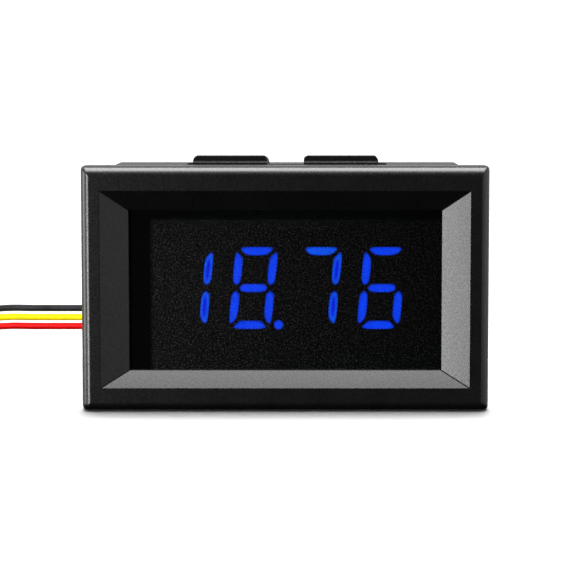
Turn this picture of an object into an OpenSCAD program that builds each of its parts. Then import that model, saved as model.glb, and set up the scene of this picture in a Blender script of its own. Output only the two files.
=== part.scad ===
// Digital panel meter, 48 by 29 mm: a snap-in case with a sloped bezel, a smoked filter,
// a four-digit display on its circuit board, and a three-lead plug.
// X runs to the right seen from the front, Y runs to the back and Z is up. The origin is the
// centre of the bezel's rear face, which seats on the panel. All sizes are in millimetres.

/* [Bezel] */
// Width of the bezel
bezel_w = 48; // [42:1:60]
// Height of the bezel
bezel_h = 29; // [26:1:40]
// Thickness of the bezel
bezel_t = 2.4; // [2:0.1:4]
// Bevel along the bezel's front edge
bezel_bevel = 0.7; // [0.3:0.1:1.2]
// Flat strip at the left and right of the recess
strip_side = 2.3; // [1.5:0.1:4]
// Flat strip above and below the recess
strip_top = 2.85; // [2:0.05:4]
// Width of the recess's side slopes
slope_side = 3.2; // [1:0.1:5]
// Width of the recess's top slope
slope_top = 2.4; // [1:0.1:4]
// Width of the recess's bottom slope
slope_bottom = 1.8; // [1:0.1:4]
// Depth of the slopes
slope_depth = 1.3; // [0.8:0.1:1.6]
// Straight land between the slopes and the filter
window_land = 0.4; // [0.2:0.1:0.8]

/* [Case] */
// Width of the bezel's rear face beside the body
seat_side = 1.25; // [0.8:0.05:3]
// Width of the bezel's rear face above and below the body
seat_top = 1.1; // [0.8:0.05:3]
// Length of the body behind the bezel
body_l = 19; // [17:0.5:40]
// Thickness of the case's walls
wall = 1.2; // [0.9:0.1:1.4]
// Rearward reach of the case's front wall
front_wall = 0.6; // [0.4:0.1:1]

/* [Snap wings] */
// Width of each snap wing
wing_w = 9; // [6:0.5:10]
// Distance between the two wings
wing_space = 4.4; // [3:0.2:8]
// Thickness of a wing's arm
wing_t = 1; // [0.7:0.1:1.3]
// Height of a wing's tip above the body
wing_rise = 2.1; // [1.2:0.1:3]
// Thickest panel that the wings grip
panel_most = 2.2; // [2.1:0.1:3]
// Length of the step at a wing's tip
step_l = 0.4; // [0.3:0.1:2]
// Height of the step at a wing's tip
step_h = 0.8; // [0.4:0.1:1]
// Bevel on the tip's edges
step_bevel = 0.1; // [0.05:0.05:0.2]
// Rounding of a wing's corners
wing_round = 0.8; // [0.3:0.1:1]
// Distance from the bezel to the wings' roots
wing_root = 15; // [12:0.2:15]
// Length of the slots beside the wings' roots
relief_l = 2.4; // [1:0.1:2.4]
// Clearance between a wing and the slot beside it
slot_w = 2; // [0.8:0.1:2.4]
// Depth of the fixed lugs below the body
lug_h = 0.85; // [0.5:0.05:1]
// Length of the fixed lugs
lug_l = 3.2; // [2:0.1:5]

/* [Filter] */
// Thickness of the filter
filter_t = 1; // [0.8:0.1:1.1]
// Overlap of the filter behind the window's edge
filter_lap = 1.1; // [0.6:0.1:1.3]
// Clearance between the filter and its pocket
filter_gap = 0.15; // [0.05:0.05:0.3]

/* [Display] */
// Width of the display module
display_w = 31; // [30.5:0.1:34]
// Height of the display module
display_h = 14.2; // [13:0.1:16]
// Depth of the display module
display_l = 7.2; // [6:0.1:8]
// Drop of the display below the bezel's middle
display_drop = 0.3; // [0:0.1:0.8]
// Distance between neighbouring digits
digit_pitch = 7.68; // [7.4:0.02:7.8]
// Distance between a digit's left and right strokes
digit_w = 4.13; // [3.8:0.01:4.4]
// Distance between a digit's top and bottom strokes
digit_h = 8.86; // [8:0.02:9.6]
// Width of a stroke
stroke_w = 1.03; // [0.8:0.01:1.2]
// Gap between neighbouring strokes
stroke_gap = 0.28; // [0.2:0.02:0.4]
// Slant of the digits, in degrees
digit_slant = 5.4; // [0:0.2:10]
// Distance of the decimal point from its digit's middle
point_x = 3.43; // [3.2:0.01:3.5]
// Diameter of the decimal point
point_d = 1.2; // [0.8:0.05:1.3]
// Thickness of the display's own board
display_board_t = 0.8; // [0.6:0.1:1]
// Side of the display's square pins
display_pin = 0.5; // [0.4:0.05:0.6]

/* [Circuit board] */
// Thickness of the circuit board
board_t = 1.6; // [1:0.1:1.6]
// Clearance between the board and the case
board_gap = 0.2; // [0.1:0.05:0.3]
// Catch of the case's snap ridges behind the board
ridge_catch = 0.35; // [0.2:0.05:0.5]

/* [Header and plug] */
// Distance between neighbouring contacts
contact_pitch = 1.25; // [1.2:0.05:1.3]
// Side of a header pin
header_pin = 0.45; // [0.4:0.05:0.5]
// Height of the header
header_l = 4; // [3.6:0.1:5]
// Wall of the header
header_wall = 0.4; // [0.3:0.05:0.6]
// Width of the plug
plug_w = 2.3; // [2:0.1:3]
// Length of the plug
plug_l = 6; // [5.6:0.1:7]
// Clearance between the plug and the header
plug_gap = 0.1; // [0.05:0.05:0.2]
// Diameter of a lead
lead_d = 0.9; // [0.8:0.05:0.95]

/* [Trimmer] */
// Side of the trimmer's body
trimmer_w = 4.6; // [4:0.1:6]
// Height of the trimmer's body
trimmer_l = 2.6; // [2:0.1:3]
// Diameter of the trimmer's rotor
rotor_d = 3; // [2.4:0.1:3.4]
// Radial clearance round the rotor
rotor_gap = 0.05; // [0.03:0.01:0.1]

/* [Hidden] */

$fn = 48;
over = 1; // how far a cut reaches past a face
bite = 0.3; // how far joined shapes reach into each other
touch = 0.05; // running distance between pieces that all but touch

// Case
body_w = bezel_w - 2 * seat_side;
body_h = bezel_h - 2 * seat_top;
inside_w = body_w - 2 * wall;
inside_h = body_h - 2 * wall;
recess_w = bezel_w - 2 * strip_side;
recess_h = bezel_h - 2 * strip_top;
window_w = recess_w - 2 * slope_side;
window_h = recess_h - slope_top - slope_bottom;
window_z = (slope_bottom - slope_top) / 2;
filter_y = slope_depth + window_land - bezel_t;
floor_z = -bezel_h / 2;

// Wings
wing_x = (wing_space + wing_w) / 2;
opening_w = wing_space + 2 * wing_w + 2 * slot_w;
opening_y = 1.4;
wing_drop = 0.15; // how far the arm's root lies below the wall's middle

// Filter and display
filter_w = window_w + 2 * filter_lap;
filter_h = window_h + 2 * filter_lap;
display_y = filter_y + filter_t + touch;
display_z = -display_drop;
stroke_fit = 0.02;
fill_end = 0.3; // distance from the fill's rear to the display's board
die_side = 0.35;
die_t = 0.2;
pins_a_row = 6;
pin_pitch = 2.54;
pin_row = 5.08;
pin_tail = 0.8;

// Circuit board
board_y = display_y + display_l + touch;
board_back = board_y + board_t;
board_w = inside_w - 2 * board_gap;
board_h = inside_h - 2 * board_gap;
post_lap = 1.3;
ridge_l = 6;
ridge_z = 6;
pin_hole = 0.9;
joint_d = 1.6;
joint_l = 0.6;
joint_taper = 0.6;
stand_off = 0.1; // height of a chip's body above the board

// Parts on the board: w and h lie along X and Z, l stands off the board
controller_z = -0.4;
controller_w = 6.5;
controller_h = 4.4;
controller_l = 1;
controller_pins = 10; // on each of its two sides
controller_pitch = 0.65;
gull_w = 0.25;
gull_t = 0.15;
gull_reach = 1;
gull_l = 0.6;
gull_foot = 0.5;
regulator_x = -10.5;
regulator_z = 8.6;
regulator_w = 4.5;
regulator_h = 2.5;
regulator_l = 1.5;
regulator_pitch = 1.5;
regulator_tab_w = 1.7;
tab_t = 0.4;
diode_z = 0.5;
diode_w = 4.3;
diode_h = 2.6;
diode_l = 2;
diode_tab_h = 1.5;
can_x = -16.8;
can_z = 7.6;
can_d = 4;
can_l = 4.6;
can_base_w = 4.3;
can_base_l = 0.8;
ceramic_w = 2;
ceramic_h = 1.25;
ceramic_l = 0.9;
resistor_long = 1.6;
resistor_short = 0.8;
resistor_l = 0.45;
// Middles of the ceramic capacitors and of the upright and level resistors, as x and z
CERAMICS = [[-9.2, 1.6], [-9.2, -1.6], [-12.4, 1.6], [-10.8, -8.4], [7.6, 8.4]];
UPRIGHT = [for (i = [0:7]) [i * 1.7 - 4.4, -9.2]];
LEVEL = [for (i = [0:3]) [6.4, 2 - i * 1.6]];

// Header and plug
contacts = 3;
header_x = -17.5;
header_z = 3.8 - board_h / 2; // 3.8 above the circuit board's lower edge
header_base = 1;
plug_h = contacts * contact_pitch + 1.15;
plug_y = board_back + header_base + touch;
plug_back = plug_y + plug_l;
socket_w = plug_w + 2 * plug_gap;
socket_h = plug_h + 2 * plug_gap;
contact_hole = 1;
contact_side = 0.86;
contact_wall = 0.12;
contact_l = 3.9;
header_pin_l = 3.4;
contact_joint_d = 1.1;
contact_pin_hole = 0.72;

// Trimmer
trimmer_x = board_w / 2 - 5.85;
trimmer_z = 6.5;
trimmer_tab_h = 0.6;
trimmer_tab_l = 0.8;
rotor_t = 0.8;
rotor_proud = 0.2;
rotor_slot = 0.5;
rotor_y = board_back + trimmer_l + rotor_proud - rotor_t;

// Leads: points of their shared route as x, y, and how far down to the coil they have come
lead_start = plug_y + contact_l + touch;
lead_route = [
    [-17.5, lead_start, 0], [-17.5, 17.3, 0], [-17.7, 18.4, 0], [-18.3, 19.4, 0], [-19.3, 20.1, 0],
    [-20.6, 20.5, 0], [-25, 20.5, 0], [-30, 20.5, 0], [-35, 20.5, 0], [-39, 20.5, 0],
    [-40.5, 20.5, 0.04], [-42, 20.5, 0.16], [-43.5, 20.5, 0.37], [-45, 20.5, 0.63],
    [-46.5, 20.5, 0.84], [-48, 20.5, 0.96], [-49.5, 20.5, 1], [-52, 20.5, 1]
];
coil_x = -52;
coil_r = 6.4; // radius of the outer turn's middle
coil_hole = 2.35;
coil_y = 20.5 + coil_r;
layer_pitch = lead_d + touch;
tie_t = 0.35;
tie_w = 2;
end_d = 0.5;
end_l = 3.4;
end_y = -1.35;
red = 0;
yellow = 1;
black = 2;

// A shape drawn in X and Z, carried along Y from y by l
module along_y(y, l) {
    translate([0, y + l, 0]) rotate([90, 0, 0]) linear_extrude(l) children();
}

// A shape drawn in Y and Z, carried along X, w wide and centred on x
module along_x(x, w) {
    translate([x - w / 2, 0, 0]) rotate([90, 0, 90]) linear_extrude(w) children();
}

// A block, w by h in X and Z and centred on x and z, from y back by l
module block(x, z, w, h, y, l) {
    translate([x - w / 2, y, z - h / 2]) cube([w, l, h]);
}

// A round bar along Y, from y back by l
module bar(x, z, d, y, l) {
    translate([x, y + l, z]) rotate([90, 0, 0]) cylinder(d = d, h = l);
}

// A board's part, w by h and l tall, standing on the circuit board's rear face
module part(x, z, w, h, l) {
    block(x, z, w, h, board_back, l);
}

function lead_z(i) = header_z + (i - yellow) * contact_pitch;
function layer_z(i) = floor_z + tie_t + touch + lead_d / 2 + i * layer_pitch;

// ---- Case ----

// The bevel's waste along one edge of the bezel: d from the middle, l long
module bevel_waste(d, l) {
    rotate([0, 90, 0]) linear_extrude(l + 2 * over, center = true)
        polygon([[-d - over, -bezel_t - over], [-d - over, bezel_bevel - bezel_t + over],
            [bezel_bevel - d + over, -bezel_t - over]]);
}

module bezel() {
    difference() {
        block(0, 0, bezel_w, bezel_h, -bezel_t, bezel_t);
        bevel_waste(bezel_h / 2, bezel_w);
        rotate([0, 180, 0]) bevel_waste(bezel_h / 2, bezel_w);
        rotate([0, 90, 0]) bevel_waste(bezel_w / 2, bezel_h);
        rotate([0, -90, 0]) bevel_waste(bezel_w / 2, bezel_h);
    }
}

// The recess's four slopes and the window
module recess() {
    front = -bezel_t;
    back = slope_depth - bezel_t;
    side = slope_side / slope_depth * over;
    upper = slope_top / slope_depth * over;
    lower = slope_bottom / slope_depth * over;
    intersection() {
        translate([0, 0, -bezel_h]) linear_extrude(2 * bezel_h)
            polygon([[-recess_w / 2 - side, front - over], [recess_w / 2 + side, front - over],
                [window_w / 2, back], [-window_w / 2, back]]);
        along_x(0, 2 * bezel_w)
            polygon([[front - over, -recess_h / 2 - lower], [front - over, recess_h / 2 + upper],
                [back, window_z + window_h / 2], [back, window_z - window_h / 2]]);
    }
    block(0, window_z, window_w, window_h, back - touch, front_wall - back + over);
}

module wing_profile() {
    top = body_h / 2;
    tip = top + wing_rise;
    y0 = panel_most;
    y1 = y0 + step_l;
    under = top - wing_t - wing_drop;
    polygon([[wing_root + bite, under], [wing_root + bite, top], [wing_root, top],
        [y1 + step_bevel, tip], [y1, tip - step_bevel], [y1, tip - step_h],
        [y0 + step_bevel, tip - step_h], [y0, tip - step_h - step_bevel], [y0, top + bite],
        [y1 + step_l, tip - wing_t - bite], [wing_root, under]]);
}

// A plate seen from the front with its two upper corners rounded
module rounded_top(w, low, high, r) {
    translate([-w / 2, low]) square([w, high - r - low]);
    translate([r - w / 2, low]) square([w - 2 * r, high - low]);
    for (side = [-1, 1]) translate([side * (w / 2 - r), high - r]) circle(r);
}

module wing() {
    tip = body_h / 2 + wing_rise;
    intersection() {
        along_x(0, wing_w) wing_profile();
        along_y(0, body_l) rounded_top(wing_w, 0, tip, wing_round);
    }
}

module lug() {
    bottom = -body_h / 2;
    along_x(0, wing_w)
        polygon([[panel_most, bottom + bite], [panel_most, bottom - lug_h],
            [panel_most + lug_l / 4, bottom - lug_h], [panel_most + lug_l, bottom],
            [panel_most + lug_l, bottom + bite]]);
}

// The hole in the top wall that frees the wings, with a slot beside each wing's root
module wing_opening() {
    block(0, body_h / 2, opening_w, 3 * wall, opening_y, wing_root - opening_y);
    for (side = [-1, 1])
        block(side * (opening_w - slot_w) / 2, body_h / 2, slot_w, 3 * wall, opening_y,
            wing_root + relief_l - opening_y);
}

// A ledge in each inner corner, where the circuit board's front rests
module board_posts() {
    w = board_gap + post_lap;
    for (sx = [-1, 1], sz = [-1, 1])
        block(sx * (inside_w / 2 - w / 2 + bite / 2), sz * (inside_h / 2 - w / 2 + bite / 2),
            w + bite, w + bite, front_wall - bite, board_y - front_wall + bite);
}

// Ridges on the side walls that snap behind the circuit board
module board_ridges() {
    reach = board_gap + ridge_catch;
    y = board_back + touch;
    for (side = [0, 1], z = [-ridge_z, ridge_z])
        mirror([side, 0, 0]) translate([0, 0, z - ridge_l / 2]) linear_extrude(ridge_l)
            polygon([[inside_w / 2 + bite, y], [inside_w / 2 - reach, y],
                [inside_w / 2 - reach, y + ridge_catch], [inside_w / 2, y + 3 * reach],
                [inside_w / 2 + bite, y + 3 * reach]]);
}

module case() {
    color("#202224") {
        difference() {
            union() {
                bezel();
                block(0, 0, body_w, body_h, -bite, body_l + bite);
            }
            recess();
            block(0, window_z, filter_w + 2 * filter_gap, filter_h + 2 * filter_gap, filter_y,
                front_wall - filter_y + over);
            block(0, 0, inside_w, inside_h, front_wall, body_l);
            wing_opening();
        }
        board_posts();
        board_ridges();
        for (side = [-1, 1]) {
            translate([side * wing_x, 0, 0]) wing();
            translate([side * wing_x, 0, 0]) lug();
        }
    }
}

module filter() {
    color("#141416") block(0, window_z, filter_w, filter_h, filter_y, filter_t);
}

// ---- Display ----

function lean(p) = [p.x + p.y * tan(digit_slant), p.y];

// The top stroke and the upper right stroke, which the others mirror
function top_stroke() =
    let (x = digit_w / 2 - stroke_gap, z = digit_h / 2, t = stroke_w / 2)
    [[-x + t * 0.1, z + t], [x - t * 0.1, z + t], [x + t * 0.45, z + t * 0.45], [x - t, z - t],
        [t - x, z - t], [-x - t * 0.45, z + t * 0.45]];
function side_stroke() =
    let (x = digit_w / 2, z = digit_h / 2 - stroke_gap, t = stroke_w / 2)
    [[x + t, z - t * 0.1], [x + t * 0.45, z + t * 0.45], [x - t, z - t], [x - t, stroke_gap + t * 0.8],
        [x, stroke_gap], [x + t, stroke_gap + t * 0.8]];
function middle_stroke() =
    let (x = digit_w / 2 - stroke_gap, t = stroke_w / 2)
    [[x, 0], [x - t * 0.8, t], [t * 0.8 - x, t], [-x, 0], [t * 0.8 - x, -t], [x - t * 0.8, -t]];

// The seven strokes in the order top, upper right, lower right, bottom, lower left, upper left, middle
STROKES = [
    top_stroke(),
    side_stroke(),
    [for (p = side_stroke()) [p.x, -p.y]],
    [for (p = top_stroke()) [p.x, -p.y]],
    [for (p = side_stroke()) [-p.x, -p.y]],
    [for (p = side_stroke()) [-p.x, p.y]],
    middle_stroke()
];
// Which strokes shine in the reading 18.76
READING = [
    [0, 1, 1, 0, 0, 0, 0],
    [1, 1, 1, 1, 1, 1, 1],
    [1, 1, 1, 0, 0, 0, 0],
    [1, 0, 1, 1, 1, 1, 1]
];
POINTS = [0, 1, 0, 0];

function digit_x(i) = (i - 1.5) * digit_pitch;
function stroke_middle(s) = let (p = [for (q = STROKES[s]) lean(q)]) [for (k = [0, 1])
    (max([for (q = p) q[k]]) + min([for (q = p) q[k]])) / 2];
function point_place() = [point_x - digit_h / 2 * tan(digit_slant), -digit_h / 2];

// One digit's strokes and its decimal point, those that shine or those that are dark
module digit_face(i, shine) {
    for (s = [0:6]) if (READING[i][s] == shine) polygon([for (p = STROKES[s]) lean(p)]);
    if (POINTS[i] == shine) translate(point_place()) circle(d = point_d);
}

// The strokes' shapes from the display's front back by l
module digits(shine, l) {
    for (i = [0:3]) translate([digit_x(i), 0, display_z]) along_y(display_y, l) digit_face(i, shine);
}

display_back = display_y + display_l;
board_front = display_back - display_board_t;

module display_housing() {
    color("#17181a") difference() {
        block(0, display_z, display_w, display_h, display_y, display_l);
        digits(1, display_l);
        digits(0, display_l);
        block(0, display_z, display_w - 2 * wall, display_h - 2 * wall, board_front, over + display_l);
    }
}

// A stroke's clear fill: each corner is drawn in towards the stroke's middle by the running fit
module fill(s) {
    m = stroke_middle(s);
    polygon([for (p = STROKES[s]) let (q = lean(p)) [for (k = [0, 1])
        q[k] - sign(q[k] - m[k]) * stroke_fit]]);
}

module fills(shine) {
    l = board_front - fill_end - display_y;
    for (i = [0:3]) translate([digit_x(i), 0, display_z]) along_y(display_y, l) {
        for (s = [0:6]) if (READING[i][s] == shine) fill(s);
        if (POINTS[i] == shine) translate(point_place()) circle(d = point_d - 2 * stroke_fit);
    }
}

module lit_segments() {
    color("#1048ff") fills(1);
}

module dark_segments() {
    color("#3a3d42") fills(0);
}

module display_board() {
    rim = 2 * (wall + touch);
    color("#1f6b3a") difference() {
        block(0, display_z, display_w - rim, display_h - rim, board_front, display_board_t);
        display_pin_places() bar(0, 0, pin_hole, board_front - over, display_l);
    }
}

module led_dies() {
    color("gold") for (i = [0:3]) translate([digit_x(i), 0, display_z]) {
        for (s = [0:6]) block(stroke_middle(s).x, stroke_middle(s).y, die_side, die_side,
            board_front - die_t, die_t);
        block(point_place().x, point_place().y, die_side, die_side, board_front - die_t, die_t);
    }
}

module display_pin_places() {
    for (i = [0:pins_a_row - 1], side = [-1, 1])
        translate([(i - (pins_a_row - 1) / 2) * pin_pitch, 0, display_z + side * pin_row]) children();
}

module display_pins() {
    color("silver") display_pin_places()
        block(0, 0, display_pin, display_pin, board_front, board_back + pin_tail - board_front);
}

// ---- Circuit board ----

module contact_places() {
    for (i = [0:contacts - 1]) translate([header_x, 0, lead_z(i)]) children();
}

module circuit_board() {
    color("#14583a") difference() {
        block(0, 0, board_w, board_h, board_y, board_t);
        display_pin_places() bar(0, 0, pin_hole, board_y - over, board_t + 2 * over);
        contact_places() bar(0, 0, contact_pin_hole, board_y - over, board_t + 2 * over);
    }
}

// A cone of solder with a square hole for its pin, its wide end at y and its narrow end l away
module solder(y, l, d, pin) {
    difference() {
        translate([0, y, 0]) rotate([l > 0 ? -90 : 90, 0, 0])
            cylinder(d1 = d, d2 = d * joint_taper, h = abs(l));
        block(0, 0, pin, pin, y - over - abs(l), 2 * over + 2 * abs(l));
    }
}

module solder_joints() {
    color("#b9bcc0") {
        display_pin_places() solder(board_back, joint_l, joint_d, display_pin);
        contact_places() solder(board_y, -joint_l, contact_joint_d, header_pin);
    }
}

// The controller's gull-wing leads along one side, up or down in Z
module gull_wings(side) {
    for (i = [0:controller_pins - 1])
        translate([(i - (controller_pins - 1) / 2) * controller_pitch, board_back,
            controller_z + side * controller_h / 2])
            mirror([0, 0, side < 0 ? 1 : 0]) rotate([90, 0, 90]) linear_extrude(gull_w, center = true)
                polygon([[0, gull_reach - gull_foot - gull_t], [0, gull_reach], [gull_t, gull_reach],
                    [gull_t, gull_reach - gull_foot], [gull_l, gull_reach - gull_foot], [gull_l, 0],
                    [gull_l - gull_t, 0], [gull_l - gull_t, gull_reach - gull_foot - gull_t]]);
}

module controller_body() {
    color("#1c1d20") translate([0, stand_off, 0])
        part(0, controller_z, controller_w, controller_h, controller_l);
}

module controller_leads() {
    color("silver") for (side = [-1, 1]) gull_wings(side);
}

module regulator_body() {
    color("#1c1d20") part(regulator_x, regulator_z, regulator_w, regulator_h, regulator_l);
}

module regulator_leads() {
    lead_h = 1;
    tab_h = 0.6;
    color("silver") {
        for (i = [-1:1])
            part(regulator_x + i * regulator_pitch, regulator_z - (regulator_h + lead_h) / 2,
                header_pin, lead_h, tab_t);
        part(regulator_x, regulator_z + (regulator_h + tab_h) / 2, regulator_tab_w, tab_h, tab_t);
    }
}

module diode_body() {
    color("#1c1d20") translate([0, stand_off, 0]) part(header_x, diode_z, diode_w, diode_h, diode_l);
}

module diode_leads() {
    tab_w = 0.5;
    color("silver") for (side = [-1, 1])
        part(header_x + side * (diode_w + tab_w) / 2, diode_z, tab_w, diode_tab_h, diode_l / 2);
}

module capacitor_base() {
    color("#1c1d20") part(can_x, can_z, can_base_w, can_base_w, can_base_l);
}

module capacitor_can() {
    color("silver") bar(can_x, can_z, can_d, board_back + can_base_l, can_l);
}

module ceramic_capacitors() {
    color("#b58f5a") for (p = CERAMICS) part(p.x, p.y, ceramic_w, ceramic_h, ceramic_l);
}

module chip_resistors() {
    color("#232427") {
        for (p = UPRIGHT) part(p.x, p.y, resistor_short, resistor_long, resistor_l);
        for (p = LEVEL) part(p.x, p.y, resistor_long, resistor_short, resistor_l);
    }
}

// ---- Trimmer ----

module trimmer_body() {
    color("#2458a8") difference() {
        part(trimmer_x, trimmer_z, trimmer_w, trimmer_w, trimmer_l);
        bar(trimmer_x, trimmer_z, rotor_d + 2 * rotor_gap, rotor_y - touch, rotor_t + over);
    }
}

module trimmer_rotor() {
    arm = rotor_d * 3 / 4;
    color("#e8e6df") difference() {
        bar(trimmer_x, trimmer_z, rotor_d, rotor_y, rotor_t);
        for (size = [[arm, rotor_slot], [rotor_slot, arm]])
            block(trimmer_x, trimmer_z, size.x, size.y, rotor_y + rotor_t / 2, over);
    }
}

module trimmer_leads() {
    z = (trimmer_w + trimmer_tab_h) / 2;
    color("silver") {
        for (side = [-1, 1])
            part(trimmer_x + side * trimmer_w / 4, trimmer_z - z, trimmer_w / 5, trimmer_tab_h,
                trimmer_tab_l);
        part(trimmer_x, trimmer_z + z, trimmer_w / 3, trimmer_tab_h, trimmer_tab_l);
    }
}

// ---- Header and plug ----

module header_housing() {
    color("#e9e6da") difference() {
        part(header_x, header_z, socket_w + 2 * header_wall, socket_h + 2 * header_wall, header_l);
        block(header_x, header_z, socket_w, socket_h, board_back + header_base, header_l);
        contact_places() block(0, 0, header_pin, header_pin, board_back - over, header_l);
    }
}

module header_pins() {
    color("silver") contact_places()
        block(0, 0, header_pin, header_pin, board_y - pin_tail, board_t + pin_tail + header_pin_l);
}

module plug_housing() {
    color("#efece0") difference() {
        block(header_x, header_z, plug_w, plug_h, plug_y, plug_l);
        contact_places() block(0, 0, contact_hole, contact_hole, plug_y - over, plug_l + 2 * over);
    }
}

module plug_contacts() {
    hollow = contact_side - 2 * contact_wall;
    color("silver") contact_places() difference() {
        block(0, 0, contact_side, contact_side, plug_y + touch, contact_l - touch);
        block(0, 0, hollow, hollow, plug_y - over, over + contact_l - contact_wall);
    }
}

// ---- Leads ----

// A lead's tube: rings of 8 points square to the route, joined into one closed skin
function unit(v) = v / norm(v);
function heading(p, i) = unit(p[min(i + 1, len(p) - 1)] - p[max(i - 1, 0)]);
function ring(c, h, r) =
    let (across = unit(cross(h, [0, 0, 1])), up = cross(across, h))
    [for (k = [0:7]) c + r * (cos(45 * k + 22.5) * across + sin(45 * k + 22.5) * up)];

module tube(p, d) {
    n = len(p);
    points = [for (i = [0:n - 1]) each ring(p[i], heading(p, i), d / 2)];
    sides = [for (i = [0:n - 2], k = [0:7])
        [i * 8 + k, i * 8 + (k + 1) % 8, (i + 1) * 8 + (k + 1) % 8, (i + 1) * 8 + k]];
    polyhedron(points, [[for (k = [7:-1:0]) k], each sides, [for (k = [0:7]) (n - 1) * 8 + k]]);
}

function lead_points(i) = [for (p = lead_route) [p.x, p.y, lead_z(i) + p.z * (layer_z(i) - lead_z(i))]];

module lead_black() {
    color("#1b1b1d") tube(lead_points(black), lead_d);
}

module lead_yellow() {
    color("#ffe600") tube(lead_points(yellow), lead_d);
}

module lead_red() {
    color("#e00d0d") tube(lead_points(red), lead_d);
}

module coil(i) {
    translate([coil_x, coil_y, layer_z(i) - lead_d / 2]) rotate_extrude()
        translate([coil_hole, 0]) square([coil_r + lead_d / 2 - coil_hole, lead_d]);
}

module coil_black() {
    color("#1b1b1d") coil(black);
}

module coil_yellow() {
    color("#ffe600") coil(yellow);
}

module coil_red() {
    color("#e00d0d") coil(red);
}

module lead_ends() {
    color("silver") for (i = [red, yellow, black])
        translate([coil_x - end_l / 2, coil_y + end_y, layer_z(i)]) rotate([0, 90, 0])
            cylinder(d = end_d, h = end_l);
}

module coil_tie() {
    outer = coil_r + lead_d / 2 + touch;
    inner = sqrt(pow(coil_hole, 2) - pow(tie_w / 2, 2)) - touch;
    h = 2 * layer_pitch + lead_d + 2 * touch;
    color("#d8d8d4") translate([coil_x, coil_y, floor_z]) difference() {
        translate([-outer - tie_t, -tie_w / 2, 0]) cube([outer - inner + 2 * tie_t, tie_w, h + 2 * tie_t]);
        translate([-outer, -tie_w, tie_t]) cube([outer - inner, 2 * tie_w, h]);
    }
}

case();
filter();
display_housing();
display_board();
display_pins();
led_dies();
lit_segments();
dark_segments();
circuit_board();
solder_joints();
controller_body();
controller_leads();
regulator_body();
regulator_leads();
diode_body();
diode_leads();
capacitor_can();
capacitor_base();
ceramic_capacitors();
chip_resistors();
trimmer_body();
trimmer_rotor();
trimmer_leads();
header_housing();
header_pins();
plug_housing();
plug_contacts();
lead_black();
lead_yellow();
lead_red();
coil_black();
coil_yellow();
coil_red();
lead_ends();
coil_tie();
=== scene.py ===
# %% [markdown]
# # A snap-in digital panel meter
# This lesson dresses a small voltmeter that clips into a 46 by 27 mm hole: a black bezel with a
# sloped recess, a smoked window over four blue digits, a circuit board behind them, and three
# thin leads on a plug. They are never moved. A node that already has its true shape only gets a
# finish here, and one that needs softer edges or more detail is replaced by a piece made on the
# same spot.

# %% Load the meter's frame
import math

import bpy
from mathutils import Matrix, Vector


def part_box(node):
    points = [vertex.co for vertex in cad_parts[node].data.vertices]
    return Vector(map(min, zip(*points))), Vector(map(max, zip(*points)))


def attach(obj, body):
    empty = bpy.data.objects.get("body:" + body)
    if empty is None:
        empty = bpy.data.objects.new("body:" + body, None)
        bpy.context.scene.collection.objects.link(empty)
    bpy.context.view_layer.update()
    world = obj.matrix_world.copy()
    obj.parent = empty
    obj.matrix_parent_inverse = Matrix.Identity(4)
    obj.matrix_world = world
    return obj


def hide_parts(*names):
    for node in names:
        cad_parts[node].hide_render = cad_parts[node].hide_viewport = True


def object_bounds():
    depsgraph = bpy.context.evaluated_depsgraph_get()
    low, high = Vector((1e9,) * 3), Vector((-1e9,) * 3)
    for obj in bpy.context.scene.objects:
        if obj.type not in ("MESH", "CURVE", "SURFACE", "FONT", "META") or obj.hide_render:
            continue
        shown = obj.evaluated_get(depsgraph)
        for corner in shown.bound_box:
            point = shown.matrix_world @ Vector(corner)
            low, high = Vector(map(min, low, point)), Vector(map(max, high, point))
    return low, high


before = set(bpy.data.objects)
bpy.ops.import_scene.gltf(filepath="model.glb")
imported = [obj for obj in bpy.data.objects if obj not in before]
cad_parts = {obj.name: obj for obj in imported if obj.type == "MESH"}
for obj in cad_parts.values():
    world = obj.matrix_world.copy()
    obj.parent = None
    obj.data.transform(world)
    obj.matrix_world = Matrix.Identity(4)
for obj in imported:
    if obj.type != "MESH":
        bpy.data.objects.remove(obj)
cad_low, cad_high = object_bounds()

MM = 0.001
cad_size = [round(side / MM, 2) for side in cad_high - cad_low]
print("frame loaded:", len(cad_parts), "nodes, size in mm", cad_size)

# %% [markdown]
# ## The camera
# The meter is seen almost straight on, from 13 cm in front and a little above its middle. The
# camera tips down by less than three degrees and its lens is shifted for the rest, which keeps
# upright edges all but upright. The Standard view transform keeps the blue of the digits pure
# and the backdrop white.

# %% Place the camera
eye = Vector((1.9, -129.5, 24.7)) * MM
look_down = math.radians(2.76)
bpy.ops.object.camera_add(location=eye, rotation=(math.radians(90) - look_down, 0, 0))
camera = bpy.context.object
camera.name = "camera"
camera.data.lens = 68.5
camera.data.shift_x = -0.0232
camera.data.shift_y = -0.2718
camera.data.clip_start = 1 * MM
bpy.context.scene.camera = camera
bpy.context.scene.view_settings.view_transform = "Standard"
print("camera at", [round(v / MM, 1) for v in eye], "mm")

# %% [markdown]
# ## The table
# The meter stands on the lower edge of its bezel, so the table lies level with that edge. It is
# a plain pale sheet. It is hidden from reflections and bounced light, because a table that white
# would wash out the black plastic.

# %% Lay the table
table_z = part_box("case")[0].z
bpy.ops.object.select_all(action="DESELECT")
bpy.ops.mesh.primitive_plane_add(size=6, location=(0, 0, table_z))
table = bpy.context.object
table.name = "table"
table.visible_diffuse = False
table.visible_glossy = False
table.visible_shadow = False

table_white = bpy.data.materials.new("table_white")
table_white.use_nodes = True
paper = table_white.node_tree.nodes["Principled BSDF"]
paper.inputs["Base Color"].default_value = (0.8, 0.8, 0.8, 1)
paper.inputs["Roughness"].default_value = 0.9
paper.inputs["Specular IOR Level"].default_value = 0
table.data.materials.append(table_white)
print("table at z", round(table_z / MM, 2), "mm")

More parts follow.
